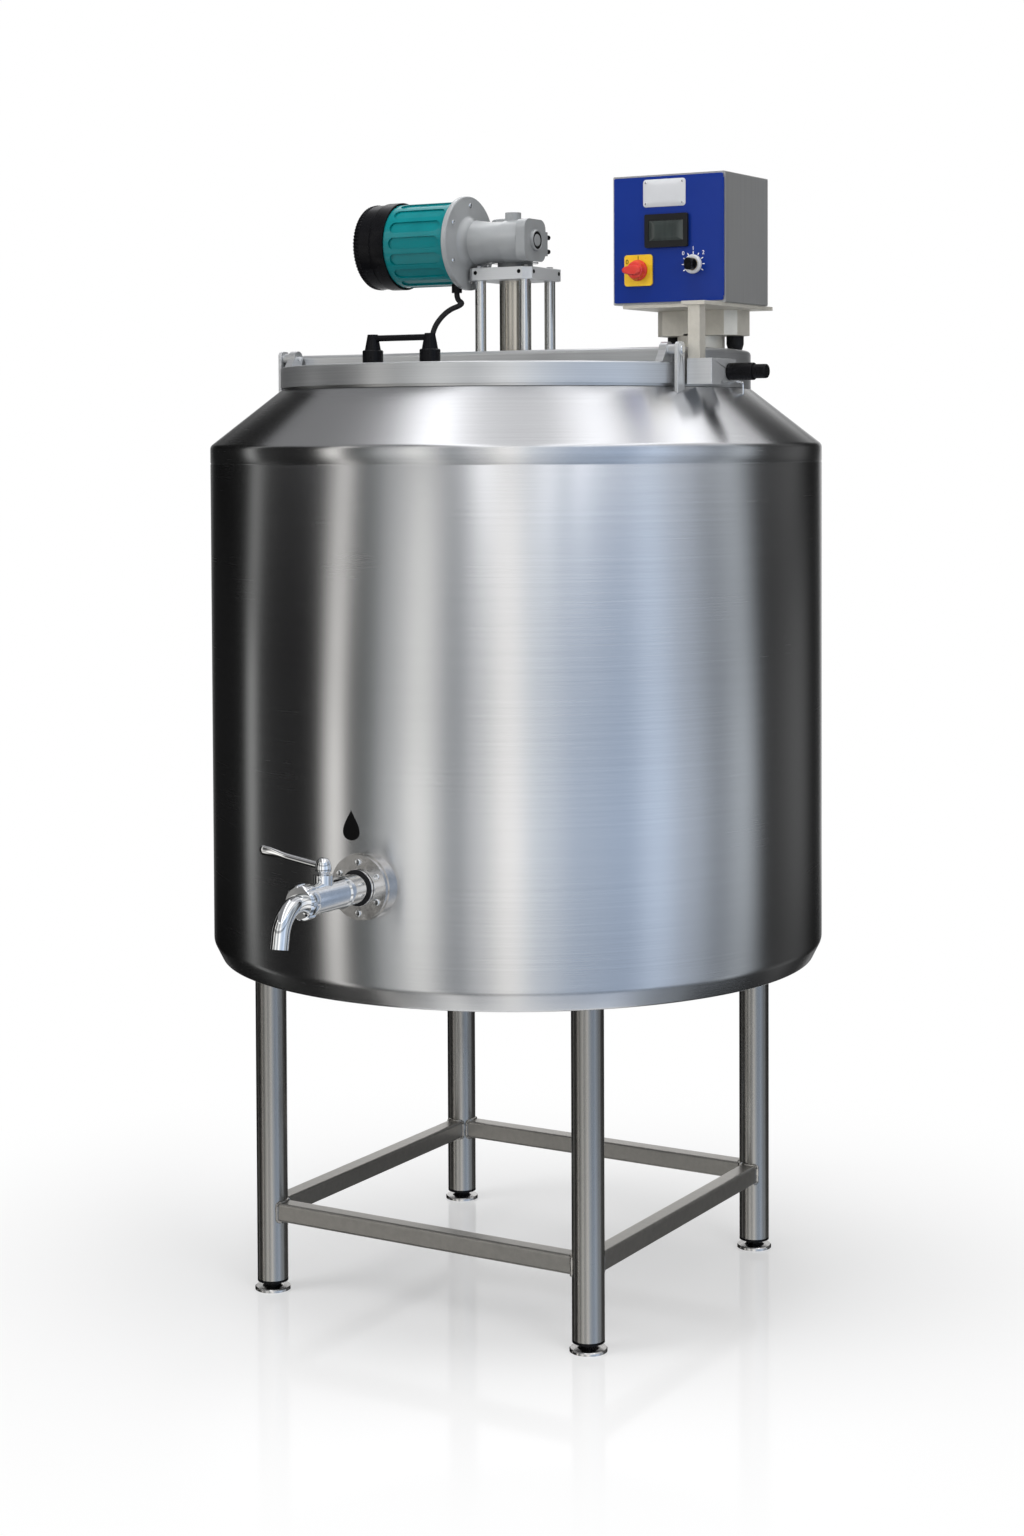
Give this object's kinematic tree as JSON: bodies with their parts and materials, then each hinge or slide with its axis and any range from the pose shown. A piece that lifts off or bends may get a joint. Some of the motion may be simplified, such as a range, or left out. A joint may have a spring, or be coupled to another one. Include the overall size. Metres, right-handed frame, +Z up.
{
  "type": "milk pasteurizer",
  "caption": "Upright jacketed round vessel on a tube stand, with a hinged half lid, geared paddle agitator, ball tap at the foot of the wall and a control box on a side post.",
  "frame": {"origin": "point on the floor under the vessel's axis, midway between the four feet", "axes": "+Z up along the vessel's axis, -Y to the front, where the tap is, +X to the right, where the control box is"},
  "size_m": [0.9998, 1.2821, 1.789],
  "materials": {
    "shell_steel": "brushed stainless steel",
    "inner_steel": "polished stainless steel, hidden or inside",
    "frame_steel": "satin stainless steel tube",
    "polished_steel": "polished stainless steel",
    "box_steel": "fine brushed stainless sheet",
    "foam": "insulation foam",
    "black_rubber": "dull black rubber",
    "white_seal": "pale food grade rubber",
    "grey_paint": "satin grey paint on cast alloy",
    "teal_paint": "satin teal paint on cast alloy",
    "black_plastic": "satin black plastic",
    "blue_paint": "semi gloss blue paint",
    "yellow_plastic": "gloss yellow plastic",
    "red_plastic": "gloss red plastic",
    "dark_glass": "dark display window",
    "gear_bronze": "worm wheel bronze",
    "winding": "stacked sheets and windings",
    "gear_plastic": "grey moulded plastic"
  },
  "bodies": {
    "vessel_and_stand": {"outer_shell": "shell_steel", "inner_vessel": "inner_steel", "neck_ring": "inner_steel", "jacket_shell": "inner_steel", "insulation": "foam", "outlet_tube": "inner_steel", "jacket_ports": "frame_steel", "heating_elements": "frame_steel", "legs": "frame_steel", "stretchers": "frame_steel", "leg_inserts": "black_plastic", "tap_flange": "polished_steel", "tap_screws": "polished_steel", "tap_seal": "black_rubber", "tap_body": "polished_steel", "tap_nut": "polished_steel", "tap_spout": "polished_steel", "hinge_ears": "shell_steel", "hinge_pins": "polished_steel", "rear_cover": "shell_steel", "stand_pillars": "polished_steel", "motor_plate": "shell_steel", "stand_screws": "polished_steel", "shaft_tube": "frame_steel", "gearbox_housing": "grey_paint", "gearbox_cap": "black_plastic", "gearbox_bolts": "black_plastic", "stator": "winding", "motor_flange": "grey_paint", "motor_housing": "teal_paint", "fan_cover": "black_plastic", "motor_cable": "black_rubber", "cable_glands": "black_plastic", "control_box": "box_steel", "control_gear": "gear_plastic", "box_pole": "box_steel", "support_tray": "box_steel", "support_buffers": "black_rubber", "pole_bracket": "box_steel", "temperature_probe": "inner_steel"},
    "lid": {"front_lid": "shell_steel", "lid_seal": "white_seal", "lid_handle": "black_plastic"},
    "tap_turning_set": {"tap_ball": "polished_steel", "tap_knob": "polished_steel", "tap_lever": "polished_steel"},
    "agitator_set": {"agitator": "inner_steel", "worm_wheel": "gear_bronze"},
    "motor_rotor": {"rotor": "winding", "cooling_fan": "black_plastic"},
    "foot_fl": {"foot_front_left": "polished_steel"},
    "foot_fr": {"foot_front_right": "polished_steel"},
    "foot_rr": {"foot_rear_right": "polished_steel"},
    "foot_rl": {"foot_rear_left": "polished_steel"},
    "door": {"control_door": "blue_paint", "display": "dark_glass", "control_bezels": "yellow_plastic"},
    "switch_handle": {"main_switch": "red_plastic"},
    "selector": {"selector_knob": "black_plastic"},
    "grip": {"clamp_grip": "black_plastic"}
  },
  "joints": [
    {"name": "lid_hinge", "type": "hinge", "parent": "vessel_and_stand", "child": "lid", "pos_m": [0, -0.135, 1.5125], "axis": [-1, 0, 0], "range_deg": [0, 88]},
    {"name": "tap_turn", "type": "hinge", "parent": "vessel_and_stand", "child": "tap_turning_set", "pos_m": [0.034, -0.612, 0.716], "axis": [0, 0, 1], "range_deg": [0, 90]},
    {"name": "agitator_spin", "type": "hinge", "parent": "vessel_and_stand", "child": "agitator_set", "pos_m": [0, 0, 1.698], "axis": [0, 0, 1], "continuous": true},
    {"name": "rotor_spin", "type": "hinge", "parent": "vessel_and_stand", "child": "motor_rotor", "pos_m": [0, -0.04, 1.698], "axis": [1, 0, 0], "continuous": true},
    {"name": "foot_fl_height", "type": "slide", "parent": "vessel_and_stand", "child": "foot_fl", "axis": [0, 0, 1], "range_m": [-0.015, 0]},
    {"name": "foot_fr_height", "type": "slide", "parent": "vessel_and_stand", "child": "foot_fr", "axis": [0, 0, 1], "range_m": [-0.015, 0]},
    {"name": "foot_rr_height", "type": "slide", "parent": "vessel_and_stand", "child": "foot_rr", "axis": [0, 0, 1], "range_m": [-0.015, 0]},
    {"name": "foot_rl_height", "type": "slide", "parent": "vessel_and_stand", "child": "foot_rl", "axis": [0, 0, 1], "range_m": [-0.015, 0]},
    {"name": "door_hinge", "type": "hinge", "parent": "vessel_and_stand", "child": "door", "pos_m": [0.407, -0.05885, 1.688], "axis": [0, 0, 1], "range_deg": [0, 110]},
    {"name": "switch_turn", "type": "hinge", "parent": "door", "child": "switch_handle", "pos_m": [0.261, -0.0631, 1.6405], "axis": [0, 1, 0], "range_deg": [0, 90]},
    {"name": "selector_turn", "type": "hinge", "parent": "door", "child": "selector", "pos_m": [0.356, -0.0651, 1.647], "axis": [0, 1, 0], "range_deg": [-45, 45]},
    {"name": "grip_turn", "type": "hinge", "parent": "vessel_and_stand", "child": "grip", "pos_m": [0.42, -0.062, 1.479], "axis": [1, 0, 0], "range_deg": [0, 360]}
  ],
  "couplings": [
    {"joint": "rotor_spin", "follows": "agitator_spin", "ratio": 32}
  ]
}
